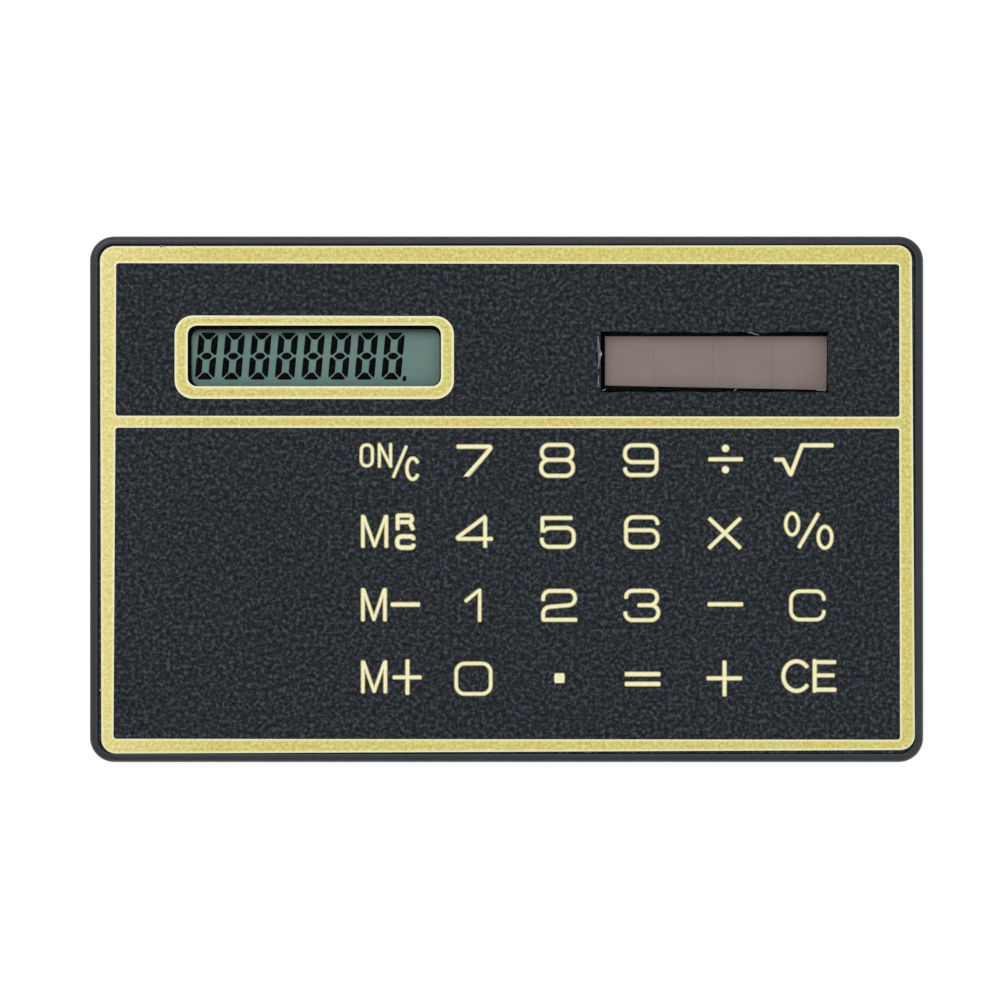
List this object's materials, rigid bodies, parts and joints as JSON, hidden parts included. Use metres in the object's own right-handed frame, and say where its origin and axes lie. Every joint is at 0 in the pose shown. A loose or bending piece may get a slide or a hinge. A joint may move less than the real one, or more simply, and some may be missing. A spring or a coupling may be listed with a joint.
{
  "type": "pocket calculator",
  "caption": "Card-size solar pocket calculator: black film face with gold print, LCD window, solar cell and membrane keys.",
  "frame": {"origin": "middle of the back face", "axes": "+X along the length, to the right as read; +Y across the width, towards the display; +Z out of the face"},
  "size_m": [0.0856, 0.054, 0.003],
  "materials": {
    "case_plastic": "fine satin moulded black plastic",
    "cover_plastic": "fine matt black plastic",
    "printed_film": "matt black film with a fine pebble grain",
    "gold_ink": "pale gold metallic screen print",
    "display_segments": "dark liquid crystal segments",
    "key_rubber": "dark grey silicone rubber with a carbon pill",
    "clear_lens": "clear hard-coated plastic, polished",
    "polarizer": "grey-green polarizing film",
    "display_glass": "clear float glass",
    "reflector": "grey-green satin reflector",
    "cell_glass": "clear float glass",
    "cell_silicon": "brown amorphous silicon with thin scribed lines",
    "adhesive": "pale double-sided adhesive",
    "board_laminate": "green epoxy laminate, satin",
    "spacer_sheet": "milky polyester sheet",
    "deck_plate": "matt black polycarbonate",
    "epoxy": "pale epoxy",
    "ribbon_foil": "amber foil with black conductor tracks",
    "foam": "closed-cell black foam",
    "wire_red": "red wire insulation",
    "wire_black": "black wire insulation",
    "solder": "bright tin solder",
    "chip_epoxy": "black potting epoxy",
    "capacitor_body": "tan ceramic body",
    "component_black": "black component body"
  },
  "bodies": {
    "case": {"case_frame": "case_plastic", "back_cover": "cover_plastic", "cover_tape": "adhesive", "main_board": "board_laminate", "key_spacer": "spacer_sheet", "key_deck": "deck_plate", "film_adhesive": "adhesive", "face_film": "printed_film", "display_window": "clear_lens", "lcd_front_polarizer": "polarizer", "lcd_front_glass": "display_glass", "lcd_seal": "epoxy", "lcd_rear_glass": "display_glass", "lcd_rear_polarizer": "reflector", "lcd_ribbon": "ribbon_foil", "lcd_tape": "adhesive", "solar_cell_glass": "cell_glass", "solar_cell_layer": "cell_silicon", "solar_cell_pad": "foam", "solar_wire_positive": "wire_red", "solar_wire_negative": "wire_black", "cell_solder_positive": "solder", "cell_solder_negative": "solder", "board_solder_positive": "solder", "board_solder_negative": "solder", "chip_blob": "chip_epoxy", "storage_capacitor": "capacitor_body", "filter_capacitor": "capacitor_body", "resistor": "component_black", "clamp_diode": "component_black"},
    "key_on_clear": {"key_on_clear": "printed_film"},
    "key_7": {"key_7": "printed_film"},
    "key_8": {"key_8": "printed_film"},
    "key_9": {"key_9": "printed_film"},
    "key_divide": {"key_divide": "printed_film"},
    "key_square_root": {"key_square_root": "printed_film"},
    "key_memory_recall": {"key_memory_recall": "printed_film"},
    "key_4": {"key_4": "printed_film"},
    "key_5": {"key_5": "printed_film"},
    "key_6": {"key_6": "printed_film"},
    "key_multiply": {"key_multiply": "printed_film"},
    "key_percent": {"key_percent": "printed_film"},
    "key_memory_minus": {"key_memory_minus": "printed_film"},
    "key_1": {"key_1": "printed_film"},
    "key_2": {"key_2": "printed_film"},
    "key_3": {"key_3": "printed_film"},
    "key_minus": {"key_minus": "printed_film"},
    "key_clear": {"key_clear": "printed_film"},
    "key_memory_plus": {"key_memory_plus": "printed_film"},
    "key_0": {"key_0": "printed_film"},
    "key_decimal_point": {"key_decimal_point": "printed_film"},
    "key_equals": {"key_equals": "printed_film"},
    "key_plus": {"key_plus": "printed_film"},
    "key_clear_entry": {"key_clear_entry": "printed_film"}
  },
  "joints": [
    {"name": "key_on_clear_travel", "type": "slide", "parent": "case", "child": "key_on_clear", "axis": [0, 0, -1], "range_m": [0, 0.00025], "stiffness_N_per_m": 4000},
    {"name": "key_7_travel", "type": "slide", "parent": "case", "child": "key_7", "axis": [0, 0, -1], "range_m": [0, 0.00025], "stiffness_N_per_m": 4000},
    {"name": "key_8_travel", "type": "slide", "parent": "case", "child": "key_8", "axis": [0, 0, -1], "range_m": [0, 0.00025], "stiffness_N_per_m": 4000},
    {"name": "key_9_travel", "type": "slide", "parent": "case", "child": "key_9", "axis": [0, 0, -1], "range_m": [0, 0.00025], "stiffness_N_per_m": 4000},
    {"name": "key_divide_travel", "type": "slide", "parent": "case", "child": "key_divide", "axis": [0, 0, -1], "range_m": [0, 0.00025], "stiffness_N_per_m": 4000},
    {"name": "key_square_root_travel", "type": "slide", "parent": "case", "child": "key_square_root", "axis": [0, 0, -1], "range_m": [0, 0.00025], "stiffness_N_per_m": 4000},
    {"name": "key_memory_recall_travel", "type": "slide", "parent": "case", "child": "key_memory_recall", "axis": [0, 0, -1], "range_m": [0, 0.00025], "stiffness_N_per_m": 4000},
    {"name": "key_4_travel", "type": "slide", "parent": "case", "child": "key_4", "axis": [0, 0, -1], "range_m": [0, 0.00025], "stiffness_N_per_m": 4000},
    {"name": "key_5_travel", "type": "slide", "parent": "case", "child": "key_5", "axis": [0, 0, -1], "range_m": [0, 0.00025], "stiffness_N_per_m": 4000},
    {"name": "key_6_travel", "type": "slide", "parent": "case", "child": "key_6", "axis": [0, 0, -1], "range_m": [0, 0.00025], "stiffness_N_per_m": 4000},
    {"name": "key_multiply_travel", "type": "slide", "parent": "case", "child": "key_multiply", "axis": [0, 0, -1], "range_m": [0, 0.00025], "stiffness_N_per_m": 4000},
    {"name": "key_percent_travel", "type": "slide", "parent": "case", "child": "key_percent", "axis": [0, 0, -1], "range_m": [0, 0.00025], "stiffness_N_per_m": 4000},
    {"name": "key_memory_minus_travel", "type": "slide", "parent": "case", "child": "key_memory_minus", "axis": [0, 0, -1], "range_m": [0, 0.00025], "stiffness_N_per_m": 4000},
    {"name": "key_1_travel", "type": "slide", "parent": "case", "child": "key_1", "axis": [0, 0, -1], "range_m": [0, 0.00025], "stiffness_N_per_m": 4000},
    {"name": "key_2_travel", "type": "slide", "parent": "case", "child": "key_2", "axis": [0, 0, -1], "range_m": [0, 0.00025], "stiffness_N_per_m": 4000},
    {"name": "key_3_travel", "type": "slide", "parent": "case", "child": "key_3", "axis": [0, 0, -1], "range_m": [0, 0.00025], "stiffness_N_per_m": 4000},
    {"name": "key_minus_travel", "type": "slide", "parent": "case", "child": "key_minus", "axis": [0, 0, -1], "range_m": [0, 0.00025], "stiffness_N_per_m": 4000},
    {"name": "key_clear_travel", "type": "slide", "parent": "case", "child": "key_clear", "axis": [0, 0, -1], "range_m": [0, 0.00025], "stiffness_N_per_m": 4000},
    {"name": "key_memory_plus_travel", "type": "slide", "parent": "case", "child": "key_memory_plus", "axis": [0, 0, -1], "range_m": [0, 0.00025], "stiffness_N_per_m": 4000},
    {"name": "key_0_travel", "type": "slide", "parent": "case", "child": "key_0", "axis": [0, 0, -1], "range_m": [0, 0.00025], "stiffness_N_per_m": 4000},
    {"name": "key_decimal_point_travel", "type": "slide", "parent": "case", "child": "key_decimal_point", "axis": [0, 0, -1], "range_m": [0, 0.00025], "stiffness_N_per_m": 4000},
    {"name": "key_equals_travel", "type": "slide", "parent": "case", "child": "key_equals", "axis": [0, 0, -1], "range_m": [0, 0.00025], "stiffness_N_per_m": 4000},
    {"name": "key_plus_travel", "type": "slide", "parent": "case", "child": "key_plus", "axis": [0, 0, -1], "range_m": [0, 0.00025], "stiffness_N_per_m": 4000},
    {"name": "key_clear_entry_travel", "type": "slide", "parent": "case", "child": "key_clear_entry", "axis": [0, 0, -1], "range_m": [0, 0.00025], "stiffness_N_per_m": 4000}
  ]
}
